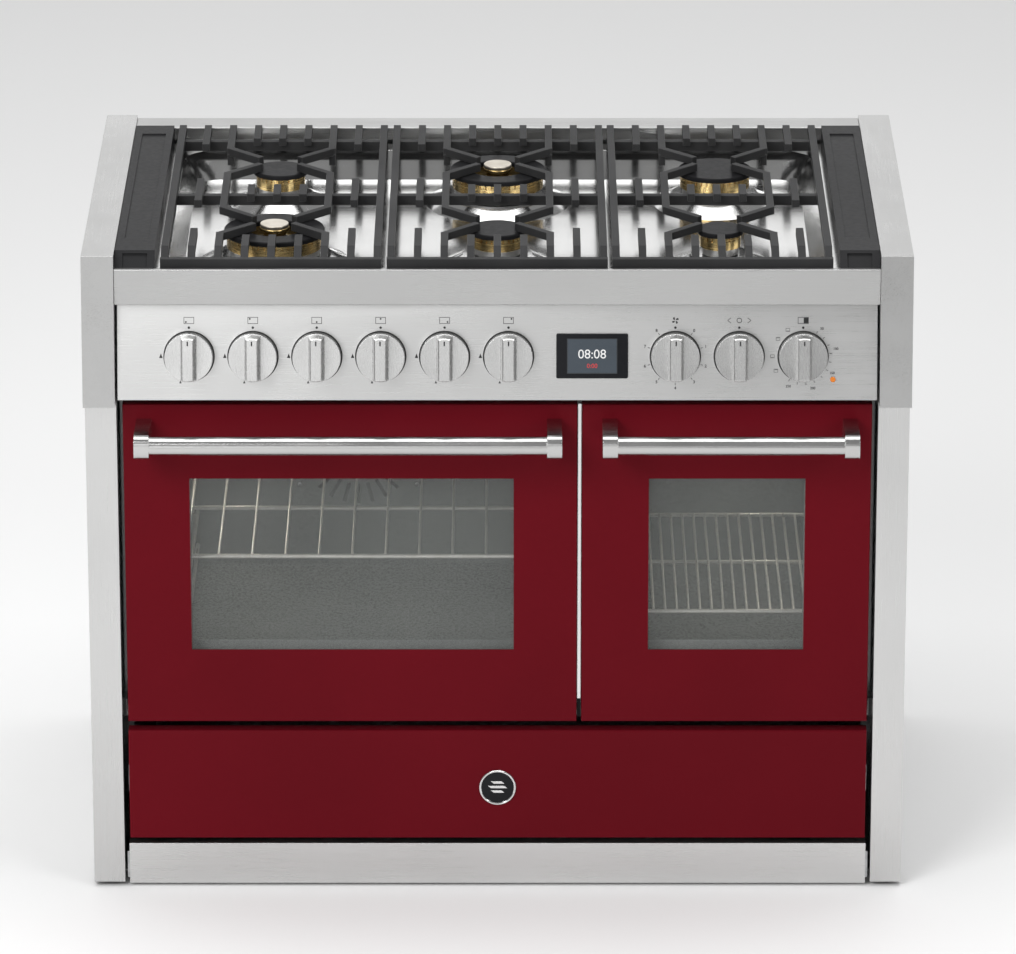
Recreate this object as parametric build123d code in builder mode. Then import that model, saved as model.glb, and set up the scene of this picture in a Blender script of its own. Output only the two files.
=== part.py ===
from build123d import *
from math import cos, radians, sin
import os

# Freestanding six-burner gas range with two ovens and a storage drawer.
# Millimetres, +X to the right of someone facing it, +Y towards the wall, +Z up.
# The origin is on the floor, under the middle of the whole outline.

# ---- driving dimensions --------------------------------------------------------------
WIDTH = 1000.0
HEIGHT = 820.0
DEPTH = 600.0
HANDLE_REACH = 65.0
FRONT = -(DEPTH - HANDLE_REACH) / 2  # y of the front edge of the top
SHEET = 1.5
FOOT = 6.0

INNER = WIDTH / 2 - 39.0  # half width between the two top caps
STILE_FRONT = 7.0  # depth of doors, drawer and stiles behind the front edge
FRAME_DEPTH = 46.0  # depth of the oven frame that the doors close on

DOOR_BOTTOM = 219.0
DOOR_TOP = 630.0
DOOR_SPLIT = (97.0, 102.7)  # inner edges of the main and the small door
DOOR_OUTER = 453.6
WINDOW = (313.0, 535.0)
MAIN_WINDOW = (-374.0, 19.8)
SMALL_WINDOW = (184.0, 374.0)
HINGE_DEPTH = 27.0
HINGE_HEIGHT = 232.0
PIN_RADIUS = 4.0
RUNNING_FIT = 0.06

CAVITY = (262.0, 592.0)
CAVITY_BACK = 455.0
MAIN_CAVITY = (-393.0, 37.0)
SMALL_CAVITY = (153.0, 403.0)
RUNNER_LEVELS = (293.0, 338.0, 410.0, 465.0, 520.0)
MAIN_SHELF_LEVEL = 2
SMALL_SHELF_LEVEL = 1

DRAWER = (65.0, 207.0)

PANEL_TILT = 12.0
PANEL_CENTRE = 698.5
PANEL_HALF = (458.0, 57.8)
KNOB_ROW = -4.6
KNOB_RADIUS = 29.0
GAS_KNOBS = [-371.5 + 77.0 * i for i in range(6)]
OVEN_KNOBS = {"function": 214.5, "select": 291.5, "thermostat": 368.5}
STEM_RADIUS = 4.0
STEM_END = 24.0

TRAY_RIM = 797.0
TRAY_FLOOR = 765.0
CAP_UNDERSIDE = 803.3
GRATE_TOP = HEIGHT
FRONT_ROW = 150.0
REAR_ROW = 400.0
COLUMN = 272.0

# column, row, cap radius, and whether the burner has a second ring inside
BURNERS = [
    (-COLUMN, FRONT_ROW, 61.5, True),
    (-COLUMN, REAR_ROW, 33.5, False),
    (0.0, FRONT_ROW, 34.5, False),
    (0.0, REAR_ROW, 60.0, True),
    (COLUMN, FRONT_ROW, 28.0, False),
    (COLUMN, REAR_ROW, 46.5, False),
]

os.makedirs("parts", exist_ok=True)


# ---- helpers -------------------------------------------------------------------------
def at(depth):
    """The y of a depth measured back from the front edge of the top."""
    return FRONT + depth


def block(x, depth, z, mode=Mode.ADD):
    """Add or cut a box given its (low, high) in x, depth and z."""
    sides = (x, (at(depth[0]), at(depth[1])), z)
    centre = tuple((low + high) / 2 for low, high in sides)
    with Locations(centre):
        Box(*(high - low for low, high in sides), mode=mode)


def rod(start, end, radius, mode=Mode.ADD):
    """Add or cut a round bar between two points given as (x, depth, z)."""
    first = Vector(start[0], at(start[1]), start[2])
    run = Vector(end[0], at(end[1]), end[2]) - first
    with Locations(Plane(origin=first, z_dir=run)):
        Cylinder(radius, run.length, align=(Align.CENTER, Align.CENTER, Align.MIN), mode=mode)


def upright(x, depth, z, radius, mode=Mode.ADD):
    """Add or cut an upright cylinder between two heights."""
    rod((x, depth, z[0]), (x, depth, z[1]), radius, mode)


def side_profile(points, x, mode=Mode.ADD):
    """Extrude an outline of (depth, height) points between two x."""
    with BuildSketch(Plane.YZ.offset(x[0])) as outline:
        with BuildLine():
            Polyline([(at(depth), z) for depth, z in points], close=True)
        make_face()
    extrude(outline.sketch, amount=x[1] - x[0], mode=mode)


def panel_plane(x=0.0, row=0.0, out=0.0):
    """A plane on the sloping control panel: local x right, y up the slope, z outwards."""
    tilt = radians(PANEL_TILT)
    normal = Vector(0, -cos(tilt), sin(tilt))
    up = Vector(0, sin(tilt), cos(tilt))
    origin = Vector(x, at(0), PANEL_CENTRE) + up * row + normal * out
    return Plane(origin=origin, x_dir=(1, 0, 0), z_dir=normal)


def panel_disc(x, out, radius, mode=Mode.ADD, row=KNOB_ROW):
    """Add or cut a cylinder square to the control panel, between two distances out."""
    with Locations(panel_plane(x, row, out[0])):
        Cylinder(
            radius,
            out[1] - out[0],
            align=(Align.CENTER, Align.CENTER, Align.MIN),
            mode=mode,
        )


def panel_block(x, row, out, mode=Mode.ADD):
    """Add or cut a box square to the control panel from its (low, high) sides."""
    with Locations(panel_plane((x[0] + x[1]) / 2, (row[0] + row[1]) / 2, out[0])):
        Box(
            x[1] - x[0],
            row[1] - row[0],
            out[1] - out[0],
            align=(Align.CENTER, Align.CENTER, Align.MIN),
            mode=mode,
        )


def save(piece, label):
    """Label a finished piece and write it as one STEP file."""
    piece.part.label = label
    export_step(piece.part, f"parts/{label}.step")


# ---- cabinet -------------------------------------------------------------------------
STILE = (INNER, WIDTH / 2 - 1)
PANEL_TOP = HEIGHT - 14.3

with BuildPart() as side_panel_right:
    block((STILE[1] - 2, STILE[1]), (STILE_FRONT, 597), (FOOT, PANEL_TOP))
    block(STILE, (STILE_FRONT, STILE_FRONT + 2), (FOOT, PANEL_TOP))
    block((STILE[0], STILE[0] + 2), (STILE_FRONT, 34), (FOOT, PANEL_TOP))
    block((STILE[1] - 16, STILE[1]), (595, 597), (FOOT, PANEL_TOP))
    # hinge plate for the outer end of the door, welded to the stile
    block((DOOR_OUTER + 1.9, STILE[0]), (19, 44), (HINGE_HEIGHT - 9, HINGE_HEIGHT + 12))
    rod(
        (DOOR_OUTER, HINGE_DEPTH, HINGE_HEIGHT),
        (STILE[0] + 3, HINGE_DEPTH, HINGE_HEIGHT),
        PIN_RADIUS + RUNNING_FIT,
        Mode.SUBTRACT,
    )
save(side_panel_right, "side_panel_right")

with BuildPart() as side_panel_left:
    mirror(side_panel_right.part, about=Plane.YZ)
save(side_panel_left, "side_panel_left")

FOOT_PLACES = [(x, depth) for x in (-436, 436) for depth in (60, 545)]

with BuildPart() as base_pan:
    block((-458, 458), (14, 36), (9, 11))
    block((-496, 496), (36, 590), (9, 11))
    block((-458, 458), (14, 16), (9, 44))
    block((-496, 496), (588, 590), (9, 44))
    for x, depth in FOOT_PLACES:
        upright(x, depth, (8, 24), 12)
    for x, depth in FOOT_PLACES:
        upright(x, depth, (7, 26), 5.2, Mode.SUBTRACT)
save(base_pan, "base_pan")

with BuildPart() as levelling_feet:
    for x, depth in FOOT_PLACES:
        upright(x, depth, (0, FOOT), 20)
        upright(x, depth, (FOOT - 1, 42), 5)
    chamfer(levelling_feet.edges().group_by(Axis.Z)[0], 1.5)
save(levelling_feet, "levelling_feet")

GAS_INLET = (-430.0, 684.0)  # x and height of the gas inlet at the back
INLET_RADIUS = 10.5

with BuildPart() as rear_panel:
    block((-494, 494), (583, 583 + SHEET), (46, 796))
    rod((GAS_INLET[0], 580, GAS_INLET[1]), (GAS_INLET[0], 590, GAS_INLET[1]), 14, Mode.SUBTRACT)
    # rows of cooling slots, high and low
    with BuildSketch(Plane.XZ.offset(-at(580))) as slots:
        for height in (660, 150):
            with Locations((0, height)):
                with GridLocations(130, 16, 5, 5):
                    SlotOverall(90, 6)
    extrude(slots.sketch, amount=-10, mode=Mode.SUBTRACT)
save(rear_panel, "rear_panel")

with BuildPart() as plinth:
    block((-455, 455), (8, 8 + SHEET), (4, 57))
    block((-455, 455), (8, 26), (57 - SHEET, 57))
    block((-455, 455), (8, 26), (4, 4 + SHEET))
    for side in (-1, 1):
        end = sorted((side * 455, side * (455 - SHEET)))
        block(end, (8, 13), (4, 57))
save(plinth, "plinth")

# one cap each side: a long top strip that turns down in front into a leaning cheek
CHEEK_BOTTOM = 634.0
CHEEK_LEAN = 18.0

with BuildPart() as top_caps:
    side_profile(
        [
            (0, HEIGHT),
            (-CHEEK_LEAN, CHEEK_BOTTOM),
            (STILE_FRONT - 0.5, CHEEK_BOTTOM),
            (STILE_FRONT - 0.5, HEIGHT - 14),
            (DEPTH, HEIGHT - 14),
            (DEPTH, HEIGHT),
        ],
        (INNER, WIDTH / 2),
    )
    block((INNER + 2, WIDTH / 2 - 2), (STILE_FRONT, DEPTH - 2), (HEIGHT - 15, HEIGHT - 2), Mode.SUBTRACT)
    side_profile(
        [(2, 800), (2 - CHEEK_LEAN * 0.85, 640), (STILE_FRONT, 640), (STILE_FRONT, 800)],
        (INNER + 2, WIDTH / 2 - 2),
        Mode.SUBTRACT,
    )
    mirror(about=Plane.YZ)
save(top_caps, "top_caps")

with BuildPart() as rear_rail:
    block((-INNER + 0.3, INNER - 0.3), (557, DEPTH), (814, 816))
    block((-INNER + 0.3, INNER - 0.3), (557, 557 + SHEET), (800, 816))
    block((-INNER + 0.3, INNER - 0.3), (DEPTH - SHEET, DEPTH), (770, 816))
    edge = rear_rail.edges().filter_by(Axis.X).group_by(Axis.Z)[-1].sort_by(Axis.Y)[0]
    fillet(edge, 1.2)
save(rear_rail, "rear_rail")

with BuildPart() as front_rail:
    block((-INNER + 0.4, INNER - 0.4), (0, 2), (759, 803))
    block((-INNER + 0.4, INNER - 0.4), (0, 7), (801, 803))
    block((-INNER + 0.4, INNER - 0.4), (0, 11), (759, 761))
    edge = front_rail.edges().filter_by(Axis.X).group_by(Axis.Z)[-1].sort_by(Axis.Y)[0]
    fillet(edge, 1.5)
save(front_rail, "front_rail")

# ---- control panel -------------------------------------------------------------------
half_wide, half_high = PANEL_HALF
DISPLAY = (114.25, -4.0)  # centre of the display on the panel
DISPLAY_SIZE = (86.5, 54.0)
PANEL_FLANGE = 24.0

with BuildPart() as control_panel:
    panel_block((-half_wide, half_wide), (-half_high, half_high), (-PANEL_FLANGE, 0))
    panel_block(
        (-half_wide + 2, half_wide - 2),
        (-half_high + 2, half_high - 2),
        (-PANEL_FLANGE - 1, -2),
        Mode.SUBTRACT,
    )
    for x in GAS_KNOBS + list(OVEN_KNOBS.values()):
        panel_disc(x, (-3, 1), 5.5, Mode.SUBTRACT)
    panel_block(
        (DISPLAY[0] - 39, DISPLAY[0] + 39),
        (DISPLAY[1] - 22, DISPLAY[1] + 22),
        (-3, 1),
        Mode.SUBTRACT,
    )
save(control_panel, "control_panel")

with BuildPart() as display_glass:
    with BuildSketch(panel_plane(*DISPLAY, 0.1)):
        RectangleRounded(*DISPLAY_SIZE, 2.0)
    extrude(amount=3.2)
    with BuildSketch(panel_plane(*DISPLAY, -22)):
        Rectangle(76, 42)
    extrude(amount=22.5)
save(display_glass, "display_glass")

KNOB_BACK = 5.5  # leaves room for the push
KNOB_SKIRT = 20.0
KNOB_FRONT = 45.0
GRIP_WIDTH = 19.0  # at its root; the sides of the grip bar draw in towards the front
GRIP_DRAFT = 5.0


def knob(x):
    """Round knob with a flat grip bar across its whole face, bored for its stem."""
    with BuildPart() as turned:
        with BuildSketch(panel_plane(x, KNOB_ROW, KNOB_BACK)):
            Circle(KNOB_RADIUS)
        extrude(amount=KNOB_SKIRT - KNOB_BACK)
        with BuildSketch(panel_plane(x, KNOB_ROW, KNOB_SKIRT)):
            Circle(KNOB_RADIUS - 0.8)
            Rectangle(GRIP_WIDTH, 3 * KNOB_RADIUS, mode=Mode.INTERSECT)
        extrude(amount=KNOB_FRONT - KNOB_SKIRT, taper=GRIP_DRAFT)
        face = turned.faces().sort_by(Axis(panel_plane().origin, panel_plane().z_dir))[-1]
        chamfer(face.edges(), 1.2)
        panel_disc(x, (KNOB_BACK, STEM_END + 1), STEM_RADIUS + RUNNING_FIT, Mode.SUBTRACT)
    return turned


def stem(x):
    """Spring-loaded spindle that a push knob sits on, with its retaining collar."""
    with BuildPart() as spindle:
        panel_disc(x, (-24, STEM_END), STEM_RADIUS)
        panel_disc(x, (-5, -3.2), 7)
    return spindle


for number, x in enumerate(GAS_KNOBS, 1):
    save(knob(x), f"gas_knob_{number}")
    save(stem(x), f"gas_stem_{number}")
for use, x in OVEN_KNOBS.items():
    save(knob(x), f"{use}_knob")
save(stem(OVEN_KNOBS["select"]), "select_stem")

# body behind the panel: it starts after the collar's push and is bored for the stem
BODY_FRONT = -11.0
PIPE = (62.0, 680.0)  # depth and height of the gas pipe behind the taps
PIPE_RADIUS = 9.0

with BuildPart() as gas_taps:
    for x in GAS_KNOBS:
        panel_disc(x, (-56, BODY_FRONT), 12)
        panel_disc(x, (-34, BODY_FRONT), STEM_RADIUS + RUNNING_FIT, Mode.SUBTRACT)
    rod((-420, *PIPE), (60, *PIPE), PIPE_RADIUS + 0.1, Mode.SUBTRACT)
save(gas_taps, "gas_taps")

with BuildPart() as gas_manifold:
    rod((GAS_INLET[0], *PIPE), (40, *PIPE), PIPE_RADIUS)
    rod((GAS_INLET[0], PIPE[0], PIPE[1]), (GAS_INLET[0], 570, GAS_INLET[1]), PIPE_RADIUS)
    with Locations((GAS_INLET[0], at(PIPE[0]), PIPE[1])):
        Sphere(PIPE_RADIUS + 2)
    rod((GAS_INLET[0], 565, GAS_INLET[1]), (GAS_INLET[0], DEPTH, GAS_INLET[1]), INLET_RADIUS)
    rod((GAS_INLET[0], 585, GAS_INLET[1]), (GAS_INLET[0], DEPTH + 1, GAS_INLET[1]), 7, Mode.SUBTRACT)
save(gas_manifold, "gas_manifold")

with BuildPart() as oven_switches:
    for use, x in OVEN_KNOBS.items():
        panel_block((x - 20, x + 20), (KNOB_ROW - 20, KNOB_ROW + 20), (-44, BODY_FRONT))
        if use == "select":
            panel_disc(x, (-34, BODY_FRONT), STEM_RADIUS + RUNNING_FIT, Mode.SUBTRACT)
        else:
            panel_disc(x, (BODY_FRONT - 1, STEM_END), STEM_RADIUS)
save(oven_switches, "oven_switches")

# ---- hob -----------------------------------------------------------------------------
WELL_TOP = (794.0, 495.0)
WELL_FLOOR = (764.0, 447.0)
WELL_MIDDLE = 273.0
TUBE_GAP = 11.5


def well(grow, drop, mode):
    """Add or cut the tapered well of the hob, rim to floor, grown by the sheet."""
    with BuildSketch(Plane.XY.offset(TRAY_FLOOR - drop)) as floor:
        with Locations((0, at(WELL_MIDDLE))):
            RectangleRounded(WELL_FLOOR[0] + 2 * grow, WELL_FLOOR[1] + 2 * grow, 30)
    with BuildSketch(Plane.XY.offset(TRAY_RIM)) as rim:
        with Locations((0, at(WELL_MIDDLE))):
            RectangleRounded(WELL_TOP[0] + 2 * grow, WELL_TOP[1] + 2 * grow, 45)
    loft([floor.sketch, rim.sketch], mode=mode)


def dome(x, depth, radius, lift, mode):
    """Add or cut the pressed cone that a burner stands on."""
    with Locations((x, at(depth), TRAY_FLOOR - SHEET + lift)):
        Cone(radius + 34, radius + 8, 13, align=(Align.CENTER, Align.CENTER, Align.MIN), mode=mode)


with BuildPart() as hob_tray:
    block((-460, 460), (8, 556), (TRAY_RIM - SHEET, TRAY_RIM))
    well(SHEET, SHEET, Mode.ADD)
    well(0, 0, Mode.SUBTRACT)
    for x, depth, radius, dual in BURNERS:
        dome(x, depth, radius, 0, Mode.ADD)
        dome(x, depth, radius, -SHEET, Mode.SUBTRACT)
        upright(x, depth, (740, 800), radius - TUBE_GAP, Mode.SUBTRACT)
save(hob_tray, "hob_tray")

COVER = (412.0, 460.5)
COVER_RECESS = (421.0, 451.0)
COVER_TOP = HEIGHT - 1

# cast covers beside the pan supports: a long shallow recess and a sloping, scooped front end
with BuildPart() as side_covers:
    side_profile(
        [
            (7, TRAY_RIM + 0.1),
            (7, 800),
            (28, COVER_TOP),
            (556, COVER_TOP),
            (556, TRAY_RIM + 0.1),
        ],
        COVER,
    )
    block(COVER_RECESS, (78, 520), (COVER_TOP - 2, COVER_TOP + 1), Mode.SUBTRACT)
    side_profile(
        [(9.3, 803.4), (24.1, 816.8), (26.5, 814.2), (11.7, 800.8)], COVER_RECESS, Mode.SUBTRACT
    )
    block((COVER[0] + 2, COVER[1] - 2), (30, 554), (TRAY_RIM, COVER_TOP - 5), Mode.SUBTRACT)
    mirror(about=Plane.YZ)
save(side_covers, "side_covers")

BAR = 9.0
FINGER_PITCH = 32.0
FINGER_LOW = 810.3
CROSS_LOW = 801.0
FRONT_BAR = (12.0, 20.0)
SLOPE_END = 43.0
GRATE_BACK = 555.0
CROSS_BARS = (275.0, 508.0)
TIP = (26.0, 15.0)  # how near the diagonal arms come to the middle of a burner
BEND = 54.0  # distance from the burner row at which the long arms turn in


def finger(x, end):
    """A finger that climbs from the front bar and runs back to a depth."""
    side_profile(
        [
            (13, 806),
            (SLOPE_END, GRATE_TOP),
            (end, GRATE_TOP),
            (end, FINGER_LOW),
            (SLOPE_END + 4, FINGER_LOW),
            (26, CROSS_LOW),
            (13, CROSS_LOW),
        ],
        (x - BAR / 2, x + BAR / 2),
    )


def bar(x, ends):
    """A straight finger between two depths, level with the pan rests."""
    block((x - BAR / 2, x + BAR / 2), ends, (FINGER_LOW, GRATE_TOP))


def diagonal(middle, side, row, towards):
    """The end of a long arm that turns in towards the middle of a burner."""
    bend = Vector(middle + side * 2 * FINGER_PITCH, at(row + towards * BEND))
    tip = Vector(middle + side * TIP[0], at(row + towards * TIP[1]))
    run = tip - bend
    angle = Vector(1, 0, 0).get_signed_angle(run, Vector(0, 0, 1))
    centre = (bend + tip) * 0.5 + Vector(0, 0, (FINGER_LOW + GRATE_TOP) / 2)
    with Locations(Location(tuple(centre), (0, 0, angle))):
        Box(run.length + BAR * 0.6, BAR - 1, GRATE_TOP - FINGER_LOW)


def grate(middle):
    """One cast pan support for a front and a rear burner."""
    edge = 4 * FINGER_PITCH + BAR / 2 + 0.5
    with BuildPart() as casting:
        block((middle - edge, middle + edge), FRONT_BAR, (799, 813))
        for depth in CROSS_BARS:
            block((middle - edge, middle + edge), (depth - 5, depth + 5), (CROSS_LOW, FINGER_LOW + 3))
        for side in (-1, 1):
            finger(middle + side * 4 * FINGER_PITCH, GRATE_BACK)
            finger(middle + side * 3 * FINGER_PITCH, 115)
            finger(middle + side * 2 * FINGER_PITCH, FRONT_ROW - BEND + 3)
            bar(middle + side * 3 * FINGER_PITCH, (230, 322))
            bar(middle + side * 3 * FINGER_PITCH, (470, GRATE_BACK))
            bar(middle + side * 2 * FINGER_PITCH, (FRONT_ROW + BEND - 3, REAR_ROW - BEND + 3))
            bar(middle + side * 2 * FINGER_PITCH, (REAR_ROW + BEND - 3, GRATE_BACK))
            for row in (FRONT_ROW, REAR_ROW):
                for towards in (-1, 1):
                    diagonal(middle, side, row, towards)
            # lugs under the rear arms, and the feet that stand on the rim
            foot = middle + side * 2 * FINGER_PITCH
            block((foot - 4, foot + 4), (REAR_ROW + BEND - 4, REAR_ROW + BEND + 4), (798, 812))
            block((foot - 6, foot + 6), (12, 20), (TRAY_RIM + 0.3, 800))
            block((foot - 4.5, foot + 4.5), (536, 545), (TRAY_RIM + 0.3, 812))
        for step in (-1, 0, 1):
            finger(middle + step * FINGER_PITCH, 88)
            bar(middle + step * FINGER_PITCH, (255, 297))
            bar(middle + step * FINGER_PITCH, (495, GRATE_BACK))
    return casting


for place, middle in (("left", -272.5), ("centre", 0.0), ("right", 271.0)):
    save(grate(middle), f"grate_{place}")

INNER_CROWN = 14.0
INNER_CAP = 16.5
RING_HOLE = 33.0
CROWN_LOW = 787.2
CROWN_TOP = 803.0

with BuildPart() as burner_cups:
    for x, depth, radius, dual in BURNERS:
        upright(x, depth, (752, 779), radius - TUBE_GAP - 0.5)
        upright(x, depth, (778, 787), radius - 6)
        if dual:
            upright(x, depth, (764, 788), radius - 17, Mode.SUBTRACT)
            upright(x, depth, (760, 787), INNER_CROWN)
        else:
            upright(x, depth, (756, 788), radius - 17, Mode.SUBTRACT)
save(burner_cups, "burner_cups")


def ports(x, depth, radius, count):
    """Cut the flame ports round the top edge of a crown."""
    with Locations((x, at(depth), CROWN_TOP - 2.5)):
        with PolarLocations(radius, count):
            Box(6, 1.6, 6, mode=Mode.SUBTRACT)


with BuildPart() as burner_crowns:
    for x, depth, radius, dual in BURNERS:
        upright(x, depth, (CROWN_LOW, CROWN_TOP), radius - 3)
        upright(x, depth, (CROWN_LOW - 1, CROWN_TOP + 1), radius - 15, Mode.SUBTRACT)
        ports(x, depth, radius - 3, 2 * round(radius / 2.5))
        if dual:
            upright(x, depth, (CROWN_LOW, 807), INNER_CROWN)
            upright(x, depth, (CROWN_LOW - 1, 808), 6, Mode.SUBTRACT)
save(burner_crowns, "burner_crowns")


def burner_caps(column):
    """The loose caps of one column of burners."""
    with BuildPart() as caps:
        for x, depth, radius, dual in BURNERS:
            if x != column:
                continue
            upright(x, depth, (CAP_UNDERSIDE, 809), radius)
            if dual:
                upright(x, depth, (800, 811), RING_HOLE, Mode.SUBTRACT)
        fillet(caps.edges().group_by(Axis.Z)[-1], 1.8)
        for x, depth, radius, dual in BURNERS:
            if dual and x == column:
                upright(x, depth, (807.3, 815), INNER_CAP)
    return caps


for place, column in (("left", -COLUMN), ("centre", 0.0), ("right", COLUMN)):
    save(burner_caps(column), f"burner_caps_{place}")

# ---- ovens ---------------------------------------------------------------------------
SPLIT = sum(DOOR_SPLIT) / 2


def cavity(inside, flange):
    """Oven box of folded sheet with the frame that its door closes on."""
    outside = (inside[0] - SHEET, inside[1] + SHEET)
    with BuildPart() as box:
        block(outside, (FRAME_DEPTH, CAVITY_BACK + SHEET), (CAVITY[0] - SHEET, CAVITY[1] + SHEET))
        block(flange, (FRAME_DEPTH, FRAME_DEPTH + SHEET), (212, 636))
        block(inside, (FRAME_DEPTH - 1, CAVITY_BACK), CAVITY, Mode.SUBTRACT)
    return box


FAN = (sum(MAIN_CAVITY) / 2, 427.0)  # x and height of the fan
main_cavity = cavity(MAIN_CAVITY, (-INNER + 2, SPLIT - 0.1))
with main_cavity:
    rod((FAN[0], CAVITY_BACK - 1, FAN[1]), (FAN[0], CAVITY_BACK + 3, FAN[1]), 7, Mode.SUBTRACT)
save(main_cavity, "main_cavity")
save(cavity(SMALL_CAVITY, (SPLIT + 0.1, INNER - 2)), "small_cavity")

with BuildPart() as centre_mullion:
    block((90.5, 109.2), (44, FRAME_DEPTH - 0.1), (222, 632))
    block((SPLIT - 1.6, SPLIT + 1.6), (19, 45), (HINGE_HEIGHT - 9, HINGE_HEIGHT + 12))
    rod(
        (SPLIT - 4, HINGE_DEPTH, HINGE_HEIGHT),
        (SPLIT + 4, HINGE_DEPTH, HINGE_HEIGHT),
        PIN_RADIUS + RUNNING_FIT,
        Mode.SUBTRACT,
    )
save(centre_mullion, "centre_mullion")

WIRE = 2.5
ELEMENT_HEIGHT = 576.0
SHELF_FRONT = 60.0
SHELF_BACK = 412.0

with BuildPart() as oven_elements:
    for inside in (MAIN_CAVITY, SMALL_CAVITY):
        left = inside[0] + 45
        right = inside[1] - 45
        inset = (right - left) / 4
        with BuildLine() as route:
            FilletPolyline(
                (left + inset, at(CAVITY_BACK), ELEMENT_HEIGHT),
                (left + inset, at(400), ELEMENT_HEIGHT),
                (left, at(400), ELEMENT_HEIGHT),
                (left, at(110), ELEMENT_HEIGHT),
                (left + 1.5 * inset, at(110), ELEMENT_HEIGHT),
                (left + 1.5 * inset, at(330), ELEMENT_HEIGHT),
                (right - 1.5 * inset, at(330), ELEMENT_HEIGHT),
                (right - 1.5 * inset, at(110), ELEMENT_HEIGHT),
                (right, at(110), ELEMENT_HEIGHT),
                (right, at(400), ELEMENT_HEIGHT),
                (right - inset, at(400), ELEMENT_HEIGHT),
                (right - inset, at(CAVITY_BACK), ELEMENT_HEIGHT),
                radius=14,
            )
        with BuildSketch(Plane(origin=route.line @ 0, z_dir=route.line % 0)) as section:
            Circle(4)
        sweep(section.sketch, path=route.line)
save(oven_elements, "oven_elements")

with BuildPart() as shelf_supports:
    for inside in (MAIN_CAVITY, SMALL_CAVITY):
        for wall, inward in ((inside[0], 1), (inside[1], -1)):
            post = wall + inward * (WIRE + 0.2)
            runner = wall + inward * 8
            for depth in (95, 425):
                rod((post, depth, 280), (post, depth, 540), WIRE)
            for level in RUNNER_LEVELS:
                for depth in (95, 425):
                    rod((post, depth, level), (runner, depth, level), WIRE - 0.4)
                rod((runner, 75, level), (runner, 440, level), WIRE)
save(shelf_supports, "shelf_supports")


def shelf(inside, level, wires):
    """Wire shelf that rests on two runners of an oven's side racks."""
    side = 3.0
    left = inside[0] + 10
    right = inside[1] - 10
    height = RUNNER_LEVELS[level] + WIRE + side + 0.3
    with BuildPart() as rack:
        for x in (left, right):
            rod((x, SHELF_FRONT - side, height), (x, SHELF_BACK + side, height), side)
        for depth in (SHELF_FRONT, (SHELF_FRONT + SHELF_BACK) / 2, SHELF_BACK):
            rod((left, depth, height), (right, depth, height), side - 0.3)
        for step in range(1, wires + 1):
            x = left + (right - left) * step / (wires + 1)
            rod((x, SHELF_FRONT, height + 1.2), (x, SHELF_BACK, height + 1.2), 1.7)
    return rack


save(shelf(MAIN_CAVITY, MAIN_SHELF_LEVEL, 9), "main_shelf")
save(shelf(SMALL_CAVITY, SMALL_SHELF_LEVEL, 15), "small_shelf")

with BuildPart() as fan_motor:
    rod((FAN[0], 457, FAN[1]), (FAN[0], 520, FAN[1]), 36)
    rod((FAN[0], 432, FAN[1]), (FAN[0], 458, FAN[1]), PIN_RADIUS)
save(fan_motor, "fan_motor")

with BuildPart() as fan_wheel:
    rod((FAN[0], 434, FAN[1]), (FAN[0], 451, FAN[1]), 11)
    rod((FAN[0], 449, FAN[1]), (FAN[0], 451, FAN[1]), 68)
    blade_plane = Plane(origin=(FAN[0], at(442), FAN[1]), x_dir=(1, 0, 0), z_dir=(0, -1, 0))
    with Locations(blade_plane):
        with PolarLocations(42, 8):
            with Locations(Location((0, 0, 0), (0, 0, 24))):
                Box(46, 1.6, 16)
    rod(
        (FAN[0], 430, FAN[1]),
        (FAN[0], 455, FAN[1]),
        PIN_RADIUS + RUNNING_FIT,
        Mode.SUBTRACT,
    )
save(fan_wheel, "fan_wheel")

# ---- doors ---------------------------------------------------------------------------
RETURN = 25.0  # depth at which the folded edges of the skin end
LINER_BACK = 43.0
BAR_RADIUS = 11.3
HANDLE_HEIGHT = 598.0
BAR_DEPTH = BAR_RADIUS - HANDLE_REACH
BRACKET = (582.0, 612.0)


def door_skin(x, window):
    """Enamelled outer skin, folded back on all four sides, with the window cut out."""
    with BuildPart() as skin:
        block(x, (STILE_FRONT, RETURN), (DOOR_BOTTOM, DOOR_TOP))
        front = skin.faces().sort_by(Axis.Y)[0]
        fillet(front.edges(), 1.4)
        block(
            (x[0] + SHEET, x[1] - SHEET),
            (STILE_FRONT + SHEET, RETURN + 1),
            (DOOR_BOTTOM + SHEET, DOOR_TOP - SHEET),
            Mode.SUBTRACT,
        )
        block(window, (0, RETURN), WINDOW, Mode.SUBTRACT)
        rod(
            (x[0] - 1, HINGE_DEPTH, HINGE_HEIGHT),
            (x[1] + 1, HINGE_DEPTH, HINGE_HEIGHT),
            PIN_RADIUS + 0.5,
            Mode.SUBTRACT,
        )
    return skin


def door_liner(x, window):
    """Inner pan of a door with the hinge pins at its lower corners."""
    pan = (x[0] + 8, x[1] - 8)
    bottom = DOOR_BOTTOM + 7
    with BuildPart() as liner:
        block(pan, (RETURN + 0.2, LINER_BACK), (bottom, DOOR_TOP - 8))
        block(
            (pan[0] + SHEET, pan[1] - SHEET),
            (RETURN, LINER_BACK - SHEET),
            (bottom + SHEET, DOOR_TOP - 8 - SHEET),
            Mode.SUBTRACT,
        )
        block(window, (RETURN, LINER_BACK + 1), WINDOW, Mode.SUBTRACT)
        for edge, outward in ((x[0], -1), (x[1], 1)):
            overhang = 5.0 if abs(edge) == DOOR_OUTER else 2.6
            rod(
                (edge - outward * 30, HINGE_DEPTH, HINGE_HEIGHT),
                (edge + outward * overhang, HINGE_DEPTH, HINGE_HEIGHT),
                PIN_RADIUS,
            )
    return liner


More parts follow.
